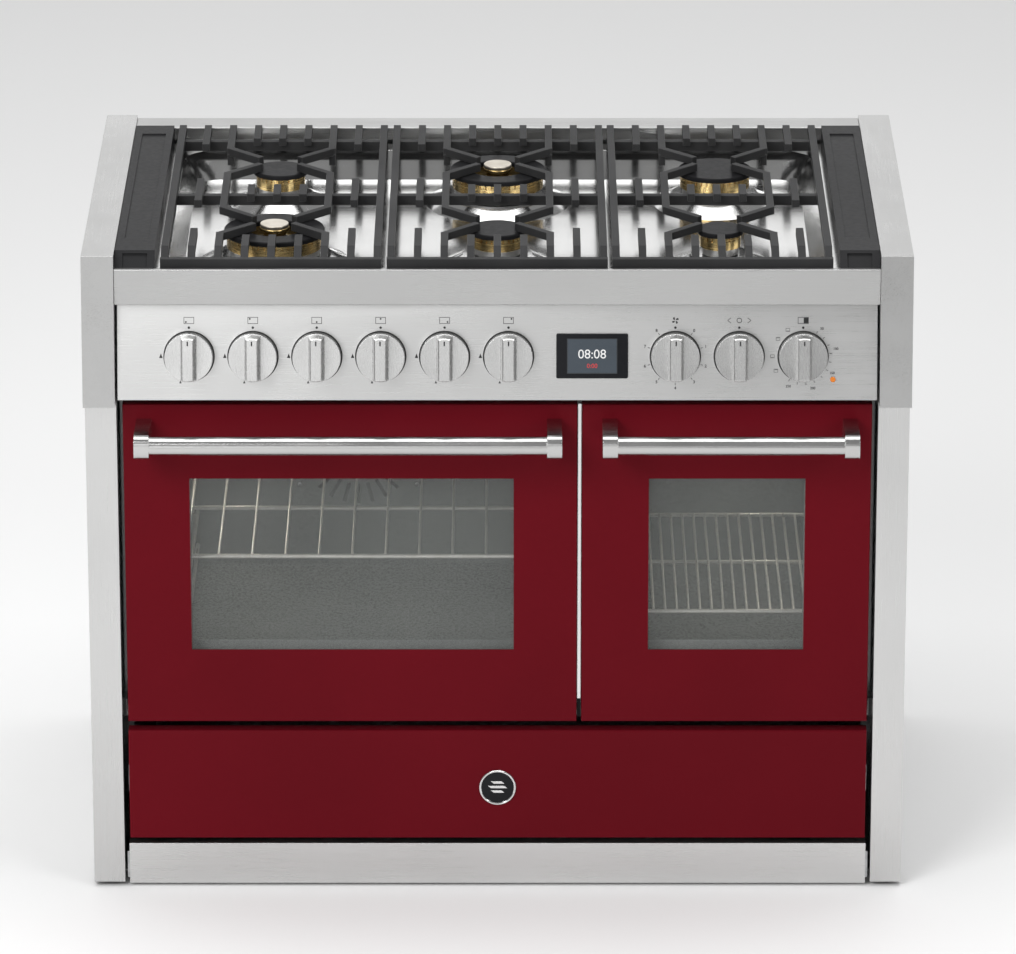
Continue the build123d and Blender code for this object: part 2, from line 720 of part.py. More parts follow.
def door_glass(window):
    """Outer pane behind the skin and inner pane inside the liner."""
    with BuildPart() as panes:
        block(
            (window[0] - 14, window[1] + 14),
            (STILE_FRONT + SHEET + 0.1, STILE_FRONT + SHEET + 4),
            (WINDOW[0] - 14, WINDOW[1] + 14),
        )
        block(
            (window[0] - 18, window[1] + 18),
            (LINER_BACK - SHEET - 4, LINER_BACK - SHEET - 0.1),
            (WINDOW[0] - 18, WINDOW[1] + 18),
        )
    return panes


def door_handle(left, right):
    """Round bar held clear of the door by a solid bracket at each end."""
    with BuildPart() as handle:
        for x in (left, right):
            with BuildSketch(Plane.YZ.offset(x[0])) as outline:
                with BuildLine():
                    Polyline(
                        (at(STILE_FRONT), BRACKET[0]),
                        (at(-HANDLE_REACH), BRACKET[0]),
                        (at(-HANDLE_REACH), BRACKET[1]),
                        (at(STILE_FRONT), BRACKET[1]),
                        close=True,
                    )
                make_face()
                fillet(outline.vertices().group_by(Axis.X)[0], 11)
            extrude(outline.sketch, amount=x[1] - x[0])
        rod(
            (left[1] - 2, BAR_DEPTH, HANDLE_HEIGHT),
            (right[0] + 2, BAR_DEPTH, HANDLE_HEIGHT),
            BAR_RADIUS,
        )
    return handle


DOORS = {
    "main": ((-DOOR_OUTER, DOOR_SPLIT[0]), MAIN_WINDOW, ((-437, -419), (60, 78))),
    "small": ((DOOR_SPLIT[1], DOOR_OUTER), SMALL_WINDOW, ((127, 145), (418, 436))),
}
for name, (x, window, brackets) in DOORS.items():
    save(door_skin(x, window), f"{name}_door_skin")
    save(door_liner(x, window), f"{name}_door_liner")
    save(door_glass(window), f"{name}_door_glass")
    save(door_handle(*brackets), f"{name}_door_handle")

# ---- storage drawer ------------------------------------------------------------------
DRAWER_BACK = 480.0
BOX_HALF = 424.0
BOX_HEIGHT = (80.0, 190.0)
SEAM = 0.1  # between the plates that the drawer's box is spot-welded from

with BuildPart() as drawer_front:
    block((-DOOR_OUTER, DOOR_OUTER), (STILE_FRONT, RETURN), DRAWER)
    front = drawer_front.faces().sort_by(Axis.Y)[0]
    fillet(front.edges().group_by(Axis.Z)[-1], 3)
    block(
        (-DOOR_OUTER + SHEET, DOOR_OUTER - SHEET),
        (STILE_FRONT + SHEET, RETURN + 1),
        (DRAWER[0] + SHEET, DRAWER[1] - SHEET),
        Mode.SUBTRACT,
    )
save(drawer_front, "drawer_front")

with BuildPart() as drawer_box:
    box_front = RETURN + SEAM
    block((-BOX_HALF, BOX_HALF), (box_front, box_front + SHEET), BOX_HEIGHT)
    block((-BOX_HALF, BOX_HALF), (DRAWER_BACK - SHEET, DRAWER_BACK), BOX_HEIGHT)
    between = (box_front + SHEET + SEAM, DRAWER_BACK - SHEET - SEAM)
    floor_half = BOX_HALF - SHEET - SEAM
    block((-floor_half, floor_half), between, (BOX_HEIGHT[0], BOX_HEIGHT[0] + SHEET))
    for side in (-1, 1):
        wall = sorted((side * BOX_HALF, side * (BOX_HALF - SHEET)))
        block(wall, between, BOX_HEIGHT)
        slide = sorted((side * BOX_HALF, side * (BOX_HALF + 9)))
        block(slide, (RETURN + 5, DRAWER_BACK - 10), (126, 140))
save(drawer_box, "drawer_box")

with BuildPart() as drawer_runners:
    block((BOX_HALF + 4, 456), (36, 500), (116, 150))
    block((BOX_HALF + 3, 454), (35, 501), (122, 144), Mode.SUBTRACT)
    mirror(about=Plane.YZ)
save(drawer_runners, "drawer_runners")
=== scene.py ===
import math

import bmesh
import bpy
from mathutils import Matrix, Vector


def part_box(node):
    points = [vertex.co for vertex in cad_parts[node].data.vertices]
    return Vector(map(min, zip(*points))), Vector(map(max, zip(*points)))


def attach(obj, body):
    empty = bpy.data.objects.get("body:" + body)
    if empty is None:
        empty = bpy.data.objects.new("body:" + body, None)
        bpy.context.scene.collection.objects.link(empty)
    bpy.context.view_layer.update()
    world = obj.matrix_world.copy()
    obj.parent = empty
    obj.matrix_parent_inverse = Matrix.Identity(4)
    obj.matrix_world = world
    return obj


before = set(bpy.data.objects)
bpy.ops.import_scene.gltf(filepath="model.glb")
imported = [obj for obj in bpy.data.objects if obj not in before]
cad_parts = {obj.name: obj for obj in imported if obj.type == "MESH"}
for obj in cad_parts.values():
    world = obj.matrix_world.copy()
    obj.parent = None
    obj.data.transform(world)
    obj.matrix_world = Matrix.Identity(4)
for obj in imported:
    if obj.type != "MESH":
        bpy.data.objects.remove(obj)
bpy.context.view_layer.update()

# ---- places, all in metres ------------------------------------------------------------
MM = 0.001
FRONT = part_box("rear_rail")[1][1] - 600 * MM  # y of the front edge of the top
TILT = math.radians(12)
PANEL_NORMAL = Vector((0, -math.cos(TILT), math.sin(TILT)))
PANEL_UP = Vector((0, math.sin(TILT), math.cos(TILT)))
PANEL_MIDDLE = Vector((0, FRONT, 698.5 * MM))  # the panel's face, half way up its slope
KNOB_ROW = -4.6 * MM  # up the slope from there
KNOB_RADIUS = 29 * MM
GAS_KNOBS = [f"gas_knob_{number}" for number in range(1, 7)]
OVEN_KNOBS = ["function_knob", "select_knob", "thermostat_knob"]


def at(depth):
    """The y of a depth in millimetres behind the front edge of the top."""
    return FRONT + depth * MM


def in_mm(pairs):
    """An outline or a profile given in millimetres."""
    return [(first * MM, second * MM) for first, second in pairs]


def middle(node):
    """The middle of a CAD node's box."""
    low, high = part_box(node)
    return (Vector(low) + Vector(high)) / 2


# ---- shader helper ----------------------------------------------------------------------
class Surface:
    """One procedural material, built up from noise in the object's own coordinates."""

    def __init__(self, name, **constants):
        self.material = bpy.data.materials.new(name)
        self.material.use_nodes = True
        self.tree = self.material.node_tree
        self.shader = self.tree.nodes["Principled BSDF"]
        self.coords = self.tree.nodes.new("ShaderNodeTexCoord").outputs["Object"]
        for key, value in constants.items():
            self.shader.inputs[key.replace("_", " ")].default_value = value

    def node(self, kind, links=None, **values):
        made = self.tree.nodes.new(kind)
        for key, value in values.items():
            made.inputs[key.replace("_", " ")].default_value = value
        for key, socket in (links or {}).items():
            self.tree.links.new(socket, made.inputs[key])
        return made

    def stretched(self, stretch):
        return self.node("ShaderNodeMapping", {"Vector": self.coords}, Scale=stretch).outputs[0]

    def noise(self, scale, stretch=(1, 1, 1), detail=4.0, roughness=0.55):
        made = self.node(
            "ShaderNodeTexNoise",
            {"Vector": self.stretched(stretch)},
            Scale=scale,
            Detail=detail,
            Roughness=roughness,
        )
        return made.outputs["Fac"]

    def cells(self, scale):
        made = self.node("ShaderNodeTexVoronoi", {"Vector": self.coords}, Scale=scale)
        return made

    def between(self, value, low, high, start=0.3, end=0.7):
        """A value spread over a narrower range."""
        made = self.node(
            "ShaderNodeMapRange",
            {"Value": value},
            From_Min=start,
            From_Max=end,
            To_Min=low,
            To_Max=high,
        )
        return made.outputs["Result"]

    def colours(self, value, first, second):
        made = self.tree.nodes.new("ShaderNodeMix")
        made.data_type = "RGBA"
        self.tree.links.new(value, made.inputs[0])
        for socket, colour in ((made.inputs[6], first), (made.inputs[7], second)):
            if isinstance(colour, bpy.types.NodeSocket):
                self.tree.links.new(colour, socket)
            else:
                socket.default_value = (*colour, 1)
        return made.outputs[2]

    def bump(self, value, distance, strength=1.0, normal=None):
        links = {"Height": value}
        if normal is not None:
            links["Normal"] = normal
        made = self.node("ShaderNodeBump", links, Distance=distance, Strength=strength)
        return made.outputs["Normal"]

    def rounded(self, radius):
        """A normal that softens sharp edges."""
        made = self.node("ShaderNodeBevel", Radius=radius)
        made.samples = 4
        return made.outputs["Normal"]

    def edges(self, rounded):
        """One along edges and zero on flats, from how far the rounded normal turns."""
        plain = self.tree.nodes.new("ShaderNodeNewGeometry").outputs["Normal"]
        dot = self.tree.nodes.new("ShaderNodeVectorMath")
        dot.operation = "DOT_PRODUCT"
        self.tree.links.new(rounded, dot.inputs[0])
        self.tree.links.new(plain, dot.inputs[1])
        return self.between(dot.outputs["Value"], 1.0, 0.0, 0.75, 0.99)

    def put(self, **sockets):
        for key, socket in sockets.items():
            self.tree.links.new(socket, self.shader.inputs[key.replace("_", " ")])
        return self.material


def brushed(name, grain, colour=0.60, rough=(0.24, 0.38), edge=0.0008):
    """Stainless sheet with a directional grain; grain is the stretch along x, y and z."""
    s = Surface(name, Metallic=1.0, Anisotropic=0.35)
    fine = s.noise(1.0, grain, 6.0, 0.7)
    broad = s.noise(2.2, (1, 1, 1), 3.0)
    smudge = s.noise(14.0, (1, 1, 1), 5.0)
    soft = s.rounded(edge)
    dark = [colour * tone for tone in (0.90, 0.90, 0.89)]
    light = [colour * tone for tone in (1.06, 1.06, 1.05)]
    cloudy = s.colours(s.between(broad, 0, 1), dark, light)
    grained = s.colours(s.between(fine, 0.0, 0.45), cloudy, [colour * 1.08] * 3)
    # paler edges: partly edge wear, partly a painted highlight along the rounded edges
    edge_wear_and_highlight = s.colours(s.edges(soft), grained, (0.82, 0.82, 0.81))
    rough_grain = s.between(fine, rough[0], rough[1])
    blotch = s.node("ShaderNodeMath", {0: rough_grain, 1: s.between(smudge, -0.03, 0.03)})
    return s.put(
        Base_Color=edge_wear_and_highlight,
        Roughness=blotch.outputs[0],
        Normal=s.bump(fine, 0.00003, 0.28, soft),
    )


def enamel(name, colour, shade, rough, peel=0.00004, edge=0.0010, gloss=0.15):
    """Vitreous or powder enamel: colour drift, orange peel and a painted highlight along the
    edges.
    """
    s = Surface(name, Specular_IOR_Level=gloss)
    drift = s.noise(3.0, (1, 1, 1), 3.0)
    mottle = s.noise(160.0, (1, 1, 1), 4.0)
    ripple = s.noise(420.0, (1, 1, 1), 2.0)
    soft = s.rounded(edge)
    base = s.colours(s.between(drift, 0, 1), colour, shade)
    base = s.colours(s.between(mottle, 0.0, 0.25), base, shade)
    # edges lightened towards white: a painted highlight along the rounded edges
    lit = [min(1.0, tone * 1.8 + 0.004) for tone in colour]
    base = s.colours(s.edges(soft), base, lit)
    return s.put(
        Base_Color=base,
        Roughness=s.between(mottle, rough - 0.03, rough + 0.05),
        Normal=s.bump(ripple, peel, 0.4, soft),
    )


def cast_iron():
    """Enamelled casting with a sandy skin and paler edges, partly rubbed wear and partly a
    painted highlight.
    """
    s = Surface("cast_iron", Specular_IOR_Level=0.10)
    sand = s.noise(900.0, (1, 1, 1), 6.0, 0.7)
    lumps = s.noise(70.0, (1, 1, 1), 4.0)
    drift = s.noise(9.0, (1, 1, 1), 3.0)
    soft = s.rounded(0.0016)
    base = s.colours(s.between(drift, 0, 1), (0.017, 0.017, 0.018), (0.034, 0.034, 0.035))
    base = s.colours(s.between(sand, 0, 0.4), base, (0.05, 0.05, 0.05))
    # paler edges: partly rubbed wear, partly a painted highlight
    base = s.colours(s.edges(soft), base, (0.085, 0.085, 0.085))
    normal = s.bump(lumps, 0.0004, 0.35, soft)
    normal = s.bump(sand, 0.00012, 0.45, normal)
    return s.put(Base_Color=base, Roughness=s.between(sand, 0.40, 0.58), Normal=normal)


def machined(name, colour, tarnish, rough=(0.16, 0.30), metal=1.0, scale=700.0):
    """Turned or cast metal with tool marks, a little tarnish and a painted highlight along the
    edges.
    """
    s = Surface(name, Metallic=metal, Anisotropic=0.2)
    marks = s.noise(1.0, (6, 6, scale), 4.0)
    stain = s.noise(60.0, (1, 1, 1), 5.0)
    soft = s.rounded(0.0006)
    base = s.colours(s.between(stain, 0, 1, 0.4, 0.75), colour, tarnish)
    # edges a quarter lighter: a painted highlight along the rounded edges
    base = s.colours(s.edges(soft), base, [min(1.0, tone * 1.25) for tone in colour])
    return s.put(
        Base_Color=base,
        Roughness=s.between(marks, *rough),
        Normal=s.bump(marks, 0.00004, 0.5, soft),
    )


def galvanised():
    """Zinc-coated sheet with its crystal spangle."""
    s = Surface("zinc_sheet", Metallic=0.9)
    spangle = s.cells(95.0)
    streak = s.noise(5.0, (1, 1, 6), 4.0)
    soft = s.rounded(0.0008)
    base = s.colours(spangle.outputs["Color"], (0.44, 0.45, 0.46), (0.60, 0.61, 0.62))
    base = s.colours(s.between(streak, 0, 0.5), base, (0.50, 0.51, 0.52))
    return s.put(
        Base_Color=base,
        Roughness=s.between(spangle.outputs["Distance"], 0.30, 0.46, 0.0, 0.6),
        Normal=s.bump(spangle.outputs["Distance"], 0.00003, 0.3, soft),
    )


def oven_enamel():
    """Dark grey vitreous enamel with pale speckles."""
    s = Surface("oven_enamel", Coat_Weight=0.4, Coat_Roughness=0.1)
    specks = s.cells(520.0).outputs["Distance"]
    cloud = s.noise(7.0, (1, 1, 1), 4.0)
    ripple = s.noise(260.0, (1, 1, 1), 2.0)
    soft = s.rounded(0.0012)
    base = s.colours(s.between(cloud, 0, 1), (0.27, 0.285, 0.28), (0.36, 0.375, 0.365))
    base = s.colours(s.between(specks, 1, 0, 0.05, 0.16), base, (0.52, 0.53, 0.52))
    return s.put(
        Base_Color=base,
        Roughness=s.between(ripple, 0.22, 0.36),
        Normal=s.bump(ripple, 0.00005, 0.4, soft),
    )


def pane(name, colour, alpha, rough=0.03):
    """Tinted oven glass that shows what is behind it."""
    s = Surface(name, Alpha=alpha, Specular_IOR_Level=0.8, IOR=1.52)
    haze = s.noise(6.0, (1, 1, 1), 3.0)
    wipe = s.noise(30.0, (1, 0.2, 3), 4.0)
    shade = [tone * 0.82 for tone in colour]
    base = s.colours(s.between(haze, 0, 1), colour, shade)
    return s.put(Base_Color=base, Roughness=s.between(wipe, rough, rough + 0.05))


def moulded(name, colour, rough=0.45, glow=None, power=0.0):
    """Moulded plastic, rubber or print with a fine texture; it may glow."""
    s = Surface(name, Specular_IOR_Level=0.45)
    if glow:
        s.shader.inputs["Emission Color"].default_value = (*glow, 1)
        s.shader.inputs["Emission Strength"].default_value = power
    grit = s.noise(1500.0, (1, 1, 1), 3.0)
    drift = s.noise(40.0, (1, 1, 1), 3.0)
    shade = [tone * 0.8 for tone in colour]
    return s.put(
        Base_Color=s.colours(s.between(drift, 0, 1), colour, shade),
        Roughness=s.between(grit, rough - 0.05, rough + 0.08),
        Normal=s.bump(grit, 0.00003, 0.4),
    )


# The base brightness of these stainless copies is painted light: each is set lighter or darker
# to match how brightly its faces are lit, the metal being the same.
STEEL_ACROSS = brushed("steel_across", (9, 1500, 1500), 0.49)
STEEL_PANEL = brushed("steel_panel", (9, 1500, 1500), 0.64)
STEEL_LIT_STRIP = brushed("steel_lit_strip", (1500, 1500, 9), 0.80)
STEEL_UPRIGHT = brushed("steel_upright", (1500, 1500, 9), 0.60)
STEEL_ALONG = brushed("steel_along", (1500, 9, 1500), 0.55)
STEEL_HOB = brushed("steel_hob", (9, 1200, 1200), 0.66, (0.10, 0.20))
STEEL_KNOB = brushed("steel_knob", (3000, 90, 90), 0.60, (0.20, 0.32), 0.0009)
HANDLE_METAL = brushed("handle_metal", (9, 2200, 2200), 0.55, (0.16, 0.26), 0.0012)
CHROME = machined("chrome_wire", (0.74, 0.74, 0.75), (0.55, 0.54, 0.52), (0.07, 0.18))
WIRE = machined("shelf_wire", (0.84, 0.82, 0.77), (0.70, 0.67, 0.61), (0.26, 0.40), 0.6)
RED = enamel("red_enamel", (0.124, 0.0040, 0.0092), (0.102, 0.0034, 0.0076), 0.34, gloss=0.045)
BLACK = enamel("black_enamel", (0.026, 0.026, 0.027), (0.018, 0.018, 0.019), 0.38, gloss=0.05)
CAP_BLACK = enamel("cap_enamel", (0.018, 0.018, 0.019), (0.012, 0.012, 0.013), 0.36, gloss=0.05)
IRON = cast_iron()
BRASS = machined("burner_brass", (0.74, 0.56, 0.26), (0.42, 0.28, 0.11))
ALLOY = machined("burner_alloy", (0.50, 0.50, 0.50), (0.34, 0.33, 0.32), (0.35, 0.55))
PIPE = machined("pipe_steel", (0.62, 0.62, 0.62), (0.45, 0.45, 0.44), (0.25, 0.4))
ELEMENT = machined("element_steel", (0.16, 0.15, 0.145), (0.09, 0.075, 0.065), (0.3, 0.5))
INNER_CAP = machined("inner_cap", (0.72, 0.67, 0.58), (0.60, 0.55, 0.46), (0.28, 0.42))
ZINC = galvanised()
OVEN = oven_enamel()
PANE = pane("window_glass", (0.255, 0.270, 0.258), 0.11)
DISPLAY = enamel("display_glass", (0.010, 0.011, 0.013), (0.008, 0.008, 0.010), 0.10, 0.00001)
FOOT = moulded("foot_plastic", (0.03, 0.03, 0.03), 0.5)
SWITCH = moulded("switch_plastic", (0.70, 0.69, 0.65), 0.45)
PRINT = moulded("black_print", (0.012, 0.012, 0.013), 0.5)
RUBBER = moulded("rubber", (0.020, 0.020, 0.020), 0.7)
CERAMIC = moulded("ceramic", (0.80, 0.78, 0.72), 0.35)
LAMP = moulded("lamp_lens", (0.85, 0.83, 0.76), 0.25, (1.0, 0.93, 0.80), 26.0)
AMBER = moulded("amber_lamp", (0.85, 0.24, 0.02), 0.25, (1.0, 0.30, 0.04), 0.12)
SCREEN = moulded("screen", (0.020, 0.026, 0.034), 0.2, (0.10, 0.13, 0.16), 0.30)
SCREEN_EDGE = moulded("screen_edge", (0.035, 0.040, 0.045), 0.3)
DIGITS = moulded("digits", (0.35, 0.35, 0.35), 0.4, (1.0, 1.0, 1.0), 0.50)
RED_DIGITS = moulded("red_digits", (0.30, 0.02, 0.02), 0.4, (1.0, 0.05, 0.05), 0.42)

NODE_MATERIALS = {
    STEEL_ACROSS: ["front_rail", "rear_rail"],
    STEEL_PANEL: ["control_panel", "plinth"],
    STEEL_UPRIGHT: ["side_panel_left", "side_panel_right", "centre_mullion"],
    STEEL_ALONG: ["top_caps"],
    STEEL_HOB: ["hob_tray"],
    STEEL_KNOB: GAS_KNOBS + OVEN_KNOBS,
    HANDLE_METAL: ["main_door_handle", "small_door_handle"],
    WIRE: ["shelf_supports", "main_shelf", "small_shelf"],
    RED: ["main_door_skin", "small_door_skin", "drawer_front"],
    BLACK: ["side_covers"],
    CAP_BLACK: ["burner_caps_left", "burner_caps_centre", "burner_caps_right"],
    IRON: ["grate_left", "grate_centre", "grate_right"],
    BRASS: ["burner_crowns"],
    ALLOY: ["burner_cups"],
    PIPE: ["gas_manifold", "gas_taps", "select_stem"] + [f"gas_stem_{n}" for n in range(1, 7)],
    ELEMENT: ["oven_elements", "fan_wheel"],
    ZINC: ["base_pan", "rear_panel", "drawer_box", "drawer_runners", "fan_motor"],
    OVEN: ["main_cavity", "small_cavity", "main_door_liner", "small_door_liner"],
    PANE: ["main_door_glass", "small_door_glass"],
    DISPLAY: ["display_glass"],
    FOOT: ["levelling_feet"],
    SWITCH: ["oven_switches"],
}
for finish, names in NODE_MATERIALS.items():
    for name in names:
        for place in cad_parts[name].material_slots:
            place.material = finish


# ---- mesh helper ------------------------------------------------------------------------
def piece(name, mesh, body, material, smooth=True):
    """Put a finished bmesh in the scene as one named piece that rides on a body."""
    data = bpy.data.meshes.new(name)
    bmesh.ops.recalc_face_normals(mesh, faces=mesh.faces)
    mesh.to_mesh(data)
    mesh.free()
    thing = bpy.data.objects.new(name, data)
    bpy.context.scene.collection.objects.link(thing)
    data.materials.append(material)
    if smooth:
        data.shade_smooth()
        data.set_sharp_from_angle(angle=math.radians(35))
    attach(thing, body)
    return thing


def turned_rings(mesh, profile, place, steps):
    """Rings of points, one for each (radius, height), turned about local z."""
    rings = []
    for radius, height in profile:
        ring = []
        for step in range(steps):
            turn = 2 * math.pi * step / steps
            point = Vector((radius * math.cos(turn), radius * math.sin(turn), height))
            ring.append(mesh.verts.new(place @ point))
        rings.append(ring)
    return rings


def join_rings(mesh, first, second):
    """A wall of faces between two rings."""
    count = len(first)
    for step in range(count):
        other = (step + 1) % count
        mesh.faces.new((first[step], first[other], second[other], second[step]))


def lathe(mesh, profile, place=Matrix(), steps=48):
    """Turn a closed outline about local z and move it to its place."""
    rings = turned_rings(mesh, profile, place, steps)
    for first, second in zip(rings, rings[1:] + rings[:1]):
        join_rings(mesh, first, second)


def disc(mesh, profile, place=Matrix(), steps=48):
    """Turn an open outline that starts and ends near the axis, and close both ends."""
    rings = turned_rings(mesh, profile, place, steps)
    for first, second in zip(rings, rings[1:]):
        join_rings(mesh, first, second)
    mesh.faces.new(rings[0])
    mesh.faces.new(list(reversed(rings[-1])))


def slab(mesh, outline, low, high, place=Matrix()):
    """Extrude a convex (u, v) outline between two heights of its local z."""
    bottom = [mesh.verts.new(place @ Vector((u, v, low))) for u, v in outline]
    top = [mesh.verts.new(place @ Vector((u, v, high))) for u, v in outline]
    count = len(outline)
    for step in range(count):
        other = (step + 1) % count
        mesh.faces.new((bottom[step], bottom[other], top[other], top[step]))
    mesh.faces.new(top)
    mesh.faces.new(list(reversed(bottom)))


def rectangle(wide, high, u=0.0, v=0.0):
    """The corners of a rectangle around (u, v)."""
    return [
        (u - wide / 2, v - high / 2),
        (u + wide / 2, v - high / 2),
        (u + wide / 2, v + high / 2),
        (u - wide / 2, v + high / 2),
    ]


def polygon(radius, sides, u=0.0, v=0.0, turn=0.0):
    """The corners of a regular polygon around (u, v)."""
    steps = [turn + 2 * math.pi * step / sides for step in range(sides)]
    return [(u + radius * math.cos(a), v + radius * math.sin(a)) for a in steps]


def outline_frame(mesh, wide, high, line, depth, place, u=0.0, v=0.0):
    """A thin rectangular outline made of four strips."""
    for side in (-1, 1):
        slab(mesh, rectangle(wide, line, u, v + side * (high - line) / 2), *depth, place)
        upright = rectangle(line, high - 2 * line, u + side * (wide - line) / 2, v)
        slab(mesh, upright, *depth, place)


def axes(origin, right, up, out):
    """A placing matrix from an origin and three directions."""
    turn = Matrix((right, up, out)).transposed().to_4x4()
    return Matrix.Translation(origin) @ turn


X, Y, Z = Vector((1, 0, 0)), Vector((0, 1, 0)), Vector((0, 0, 1))


def knob_place(node):
    """On the panel's face, behind the middle of a knob."""
    origin = PANEL_MIDDLE + PANEL_UP * KNOB_ROW + X * middle(node).x
    return axes(origin, X, PANEL_UP, PANEL_NORMAL)


def front_place(x, depth, height):
    """Facing the person at the range: local x right, y up, z towards them."""
    return axes(Vector((x, at(depth), height)), X, Z, -Y)


def back_place(x, depth, height):
    """Facing the wall: local z points backwards."""
    return axes(Vector((x, at(depth), height)), -X, Z, Y)


def lettering(name, text, size, place, body, material, spread=0.0):
    """Flat digits, centred on their place; spread thickens their strokes."""
    curve = bpy.data.curves.new(name, "FONT")
    curve.body = text
    curve.size = size
    curve.align_x = "CENTER"
    curve.align_y = "CENTER"
    curve.extrude = 0.08 * MM
    curve.offset = size * spread
    curve.materials.append(material)
    thing = bpy.data.objects.new(name, curve)
    bpy.context.scene.collection.objects.link(thing)
    thing.matrix_world = place
    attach(thing, body)
    return thing


# ---- controls ---------------------------------------------------------------------------
INK = (0.02 * MM, 0.18 * MM)  # under and top side of printed marks, off the panel
PRINT_SPREAD = 0.022  # printed digits are this much bolder, as a share of their size
SYMBOL_ROW = 43.5 * MM  # symbols above the knobs
DOT_ROW = 34.8 * MM  # index dots above the knobs
FINE_LINE = 0.6 * MM  # line of the printed burner symbols
INDEX_LINE = (44.9 * MM, 45.15 * MM)  # under and top side of the line on a grip, off the panel
TICK_RADIUS, TICK_WIDE, TICK_LONG = 33.5 * MM, 0.7 * MM, 2.8 * MM
# angles clockwise from the top, in degrees
FUNCTION_SCALE = (36, 324)
THERMOSTAT_TICKS = (30, 210)
THERMOSTAT_NUMBERS = (34, 206)
GRILL_MODES = (-30, -55, -90, -118)  # small squares left of the thermostat knob


def base_ring(node):
    """Dark ring behind a knob: a painted shadow where the knob's skirt meets the panel."""
    mesh = bmesh.new()
    inner, outer = KNOB_RADIUS + 0.4 * MM, KNOB_RADIUS + 2.0 * MM
    profile = [(inner, 0), (outer, 0), (outer - 0.5 * MM, 1.6 * MM), (inner, 2.0 * MM)]
    lathe(mesh, profile, knob_place(node), 64)
    piece(f"{node}_painted_shadow", mesh, "cabinet", RUBBER)


def index_mark(node, body):
    """Small black line let into the top of the grip bar."""
    mesh = bmesh.new()
    slab(mesh, rectangle(1.7 * MM, 5.5 * MM, 0, 20 * MM), *INDEX_LINE, knob_place(node))
    piece(f"{node}_index", mesh, body, PRINT, False)


def index_dot(mesh, place):
    """Printed dot above a knob."""
    slab(mesh, polygon(1.5 * MM, 18, 0, DOT_ROW), *INK, place)


def flame(mesh, place, u, v, wide, high):
    """Printed flame: a triangle on the middle (u, v) of its base, in millimetres."""
    corners = [(u - wide / 2, v), (u + wide / 2, v), (u, v + high)]
    slab(mesh, in_mm(corners), *INK, place)


def gas_marks(node, column, row):
    """Printed marks of a gas knob: which burner, off, large and small flame."""
    place = knob_place(node)
    mesh = bmesh.new()
    outline_frame(mesh, 12.5 * MM, 8.2 * MM, FINE_LINE, INK, place, 0, SYMBOL_ROW)
    dot = (column * 3.6 * MM, SYMBOL_ROW + row * 1.9 * MM)
    slab(mesh, polygon(1.1 * MM, 14, *dot), *INK, place)
    index_dot(mesh, place)
    flame(mesh, place, -33.9, -2.0, 4.2, 5.5)
    flame(mesh, place, -10.6, -32.8, 2.8, 3.6)
    piece(f"{node}_marks", mesh, "cabinet", PRINT, False)


def dial_ticks(mesh, place, first, last, count):
    """Ticks round a knob between two angles measured clockwise from the top."""
    for step in range(count):
        turn = math.radians(90 - first - (last - first) * step / (count - 1))
        shift = Vector((TICK_RADIUS * math.cos(turn), TICK_RADIUS * math.sin(turn), 0))
        spun = place @ Matrix.Translation(shift) @ Matrix.Rotation(turn, 4, "Z")
        slab(mesh, rectangle(TICK_LONG, TICK_WIDE), *INK, spun)


def dial_numbers(node, labels, first, last, radius, size):
    """Numbers round a knob between two angles measured clockwise from the top."""
    for step, label in enumerate(labels):
        turn = math.radians(90 - first - (last - first) * step / (len(labels) - 1))
        shift = Vector((radius * math.cos(turn), radius * math.sin(turn), INK[1]))
        place = knob_place(node) @ Matrix.Translation(shift)
        lettering(f"{node}_number_{step}", label, size, place, "cabinet", PRINT,
                  PRINT_SPREAD)


